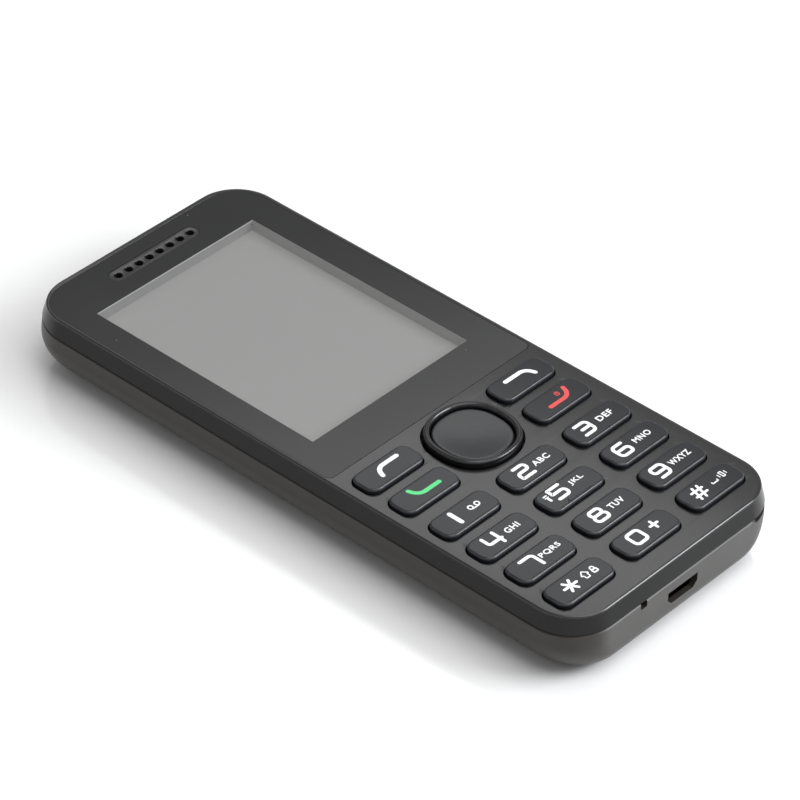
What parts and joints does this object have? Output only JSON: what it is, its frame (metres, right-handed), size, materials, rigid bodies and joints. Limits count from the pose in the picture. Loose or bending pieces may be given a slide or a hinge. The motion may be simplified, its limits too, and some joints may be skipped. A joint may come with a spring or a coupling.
{
  "type": "candybar phone",
  "caption": "Candybar keypad phone on its back: display window, rocking navigation ring round a select key, pressable keypad, lift-off rear cover and removable battery.",
  "frame": {"origin": "on the surface it lies on, under the middle of its outline", "axes": "+X to the phone's right seen from the front, +Y towards the earpiece end, +Z out of the face"},
  "size_m": [0.0518, 0.123, 0.0135],
  "materials": {
    "front_case": "fine moulded satin",
    "window_glass": "polished",
    "black_adhesive": "printed",
    "grille_plastic": "satin",
    "keycap": "satin with pale legends",
    "ring_gloss": "glossy",
    "select_key": "satin",
    "display_glass": "switched off",
    "white_plastic": "moulded",
    "flex_film": "polyimide film",
    "soft_rubber": "silicone",
    "inner_plastic": "moulded",
    "circuit_board": "solder mask",
    "plated_steel": "plated",
    "speaker_black": "moulded",
    "camera_glass": "polished",
    "torch_lens": "clear moulded",
    "battery_wrap": "wrapped cell",
    "rear_case": "satin grey",
    "speaker_cloth": "woven"
  },
  "bodies": {
    "handset": {"front_housing": "front_case", "display_window": "window_glass", "window_adhesive": "black_adhesive", "earpiece_grille": "grille_plastic", "lcd_panel": "display_glass", "lcd_backlight": "white_plastic", "light_guide": "white_plastic", "lcd_flex": "flex_film", "dome_sheet": "flex_film", "main_antenna": "flex_film", "key_mat": "soft_rubber", "microphone_boot": "soft_rubber", "usb_tongue": "inner_plastic", "battery_contacts": "inner_plastic", "audio_jack": "inner_plastic", "rear_chassis": "inner_plastic", "main_board": "circuit_board", "logic_shield": "plated_steel", "radio_shield": "plated_steel", "sim_socket_left": "plated_steel", "sim_socket_right": "plated_steel", "memory_card_socket": "plated_steel", "usb_shell": "plated_steel", "microphone": "plated_steel", "earpiece_receiver": "plated_steel", "vibration_motor": "plated_steel", "chassis_screws": "plated_steel", "loudspeaker": "speaker_black", "camera_module": "speaker_black", "torch_led": "torch_lens"},
    "key_1": {"key_1": "keycap"},
    "key_2": {"key_2": "keycap"},
    "key_3": {"key_3": "keycap"},
    "key_4": {"key_4": "keycap"},
    "key_5": {"key_5": "keycap"},
    "key_6": {"key_6": "keycap"},
    "key_7": {"key_7": "keycap"},
    "key_8": {"key_8": "keycap"},
    "key_9": {"key_9": "keycap"},
    "key_star": {"key_star": "keycap"},
    "key_0": {"key_0": "keycap"},
    "key_hash": {"key_hash": "keycap"},
    "soft_key_left": {"soft_key_left": "keycap"},
    "soft_key_right": {"soft_key_right": "keycap"},
    "call_key": {"call_key": "keycap"},
    "end_key": {"end_key": "keycap"},
    "ok_key": {"ok_key": "select_key"},
    "nav_rocker": {"nav_rocker": "inner_plastic"},
    "nav_ring": {"nav_ring": "ring_gloss"},
    "rear_cover": {"rear_cover": "rear_case", "camera_window": "camera_glass", "speaker_mesh": "speaker_cloth"},
    "battery": {"battery": "battery_wrap"},
    "vibration_weight": {"vibration_weight": "plated_steel"}
  },
  "joints": [
    {"name": "key_1_press", "type": "slide", "parent": "handset", "child": "key_1", "axis": [0, 0, -1], "range_m": [0, 0.00035], "stiffness_N_per_m": 2000, "deforming": ["key_mat"]},
    {"name": "key_2_press", "type": "slide", "parent": "handset", "child": "key_2", "axis": [0, 0, -1], "range_m": [0, 0.00035], "stiffness_N_per_m": 2000, "deforming": ["key_mat"]},
    {"name": "key_3_press", "type": "slide", "parent": "handset", "child": "key_3", "axis": [0, 0, -1], "range_m": [0, 0.00035], "stiffness_N_per_m": 2000, "deforming": ["key_mat"]},
    {"name": "key_4_press", "type": "slide", "parent": "handset", "child": "key_4", "axis": [0, 0, -1], "range_m": [0, 0.00035], "stiffness_N_per_m": 2000, "deforming": ["key_mat"]},
    {"name": "key_5_press", "type": "slide", "parent": "handset", "child": "key_5", "axis": [0, 0, -1], "range_m": [0, 0.00035], "stiffness_N_per_m": 2000, "deforming": ["key_mat"]},
    {"name": "key_6_press", "type": "slide", "parent": "handset", "child": "key_6", "axis": [0, 0, -1], "range_m": [0, 0.00035], "stiffness_N_per_m": 2000, "deforming": ["key_mat"]},
    {"name": "key_7_press", "type": "slide", "parent": "handset", "child": "key_7", "axis": [0, 0, -1], "range_m": [0, 0.00035], "stiffness_N_per_m": 2000, "deforming": ["key_mat"]},
    {"name": "key_8_press", "type": "slide", "parent": "handset", "child": "key_8", "axis": [0, 0, -1], "range_m": [0, 0.00035], "stiffness_N_per_m": 2000, "deforming": ["key_mat"]},
    {"name": "key_9_press", "type": "slide", "parent": "handset", "child": "key_9", "axis": [0, 0, -1], "range_m": [0, 0.00035], "stiffness_N_per_m": 2000, "deforming": ["key_mat"]},
    {"name": "key_star_press", "type": "slide", "parent": "handset", "child": "key_star", "axis": [0, 0, -1], "range_m": [0, 0.00035], "stiffness_N_per_m": 2000, "deforming": ["key_mat"]},
    {"name": "key_0_press", "type": "slide", "parent": "handset", "child": "key_0", "axis": [0, 0, -1], "range_m": [0, 0.00035], "stiffness_N_per_m": 2000, "deforming": ["key_mat"]},
    {"name": "key_hash_press", "type": "slide", "parent": "handset", "child": "key_hash", "axis": [0, 0, -1], "range_m": [0, 0.00035], "stiffness_N_per_m": 2000, "deforming": ["key_mat"]},
    {"name": "soft_key_left_press", "type": "slide", "parent": "handset", "child": "soft_key_left", "axis": [0, 0, -1], "range_m": [0, 0.00035], "stiffness_N_per_m": 2000, "deforming": ["key_mat"]},
    {"name": "soft_key_right_press", "type": "slide", "parent": "handset", "child": "soft_key_right", "axis": [0, 0, -1], "range_m": [0, 0.00035], "stiffness_N_per_m": 2000, "deforming": ["key_mat"]},
    {"name": "call_key_press", "type": "slide", "parent": "handset", "child": "call_key", "axis": [0, 0, -1], "range_m": [0, 0.00035], "stiffness_N_per_m": 2000, "deforming": ["key_mat"]},
    {"name": "end_key_press", "type": "slide", "parent": "handset", "child": "end_key", "axis": [0, 0, -1], "range_m": [0, 0.00035], "stiffness_N_per_m": 2000, "deforming": ["key_mat"]},
    {"name": "ok_key_press", "type": "slide", "parent": "handset", "child": "ok_key", "axis": [0, 0, -1], "range_m": [0, 0.00035], "stiffness_N_per_m": 2000, "deforming": ["key_mat"]},
    {"name": "nav_rock_up_down", "type": "hinge", "parent": "handset", "child": "nav_rocker", "pos_m": [0, -0.0175, 0.0092], "axis": [1, 0, 0], "range_deg": [-1.6, 1.6], "stiffness_Nm_per_rad": 0.4, "deforming": ["key_mat"]},
    {"name": "nav_rock_left_right", "type": "hinge", "parent": "nav_rocker", "child": "nav_ring", "pos_m": [0, -0.0175, 0.01012], "axis": [0, 1, 0], "range_deg": [-1.6, 1.6], "stiffness_Nm_per_rad": 0.4, "deforming": ["key_mat"]},
    {"name": "rear_cover_removal", "type": "slide", "parent": "handset", "child": "rear_cover", "axis": [0, 0, -1], "range_m": [0, 0.02]},
    {"name": "battery_removal", "type": "slide", "parent": "handset", "child": "battery", "axis": [0, 0, -1], "range_m": [0, 0.01]},
    {"name": "vibration_spin", "type": "hinge", "parent": "handset", "child": "vibration_weight", "pos_m": [-0.011, 0.044, 0.0046], "axis": [1, 0, 0], "continuous": true}
  ],
  "couplings": [
    {"joint": "battery_removal", "follows": "rear_cover_removal", "ratio": 0.5}
  ]
}
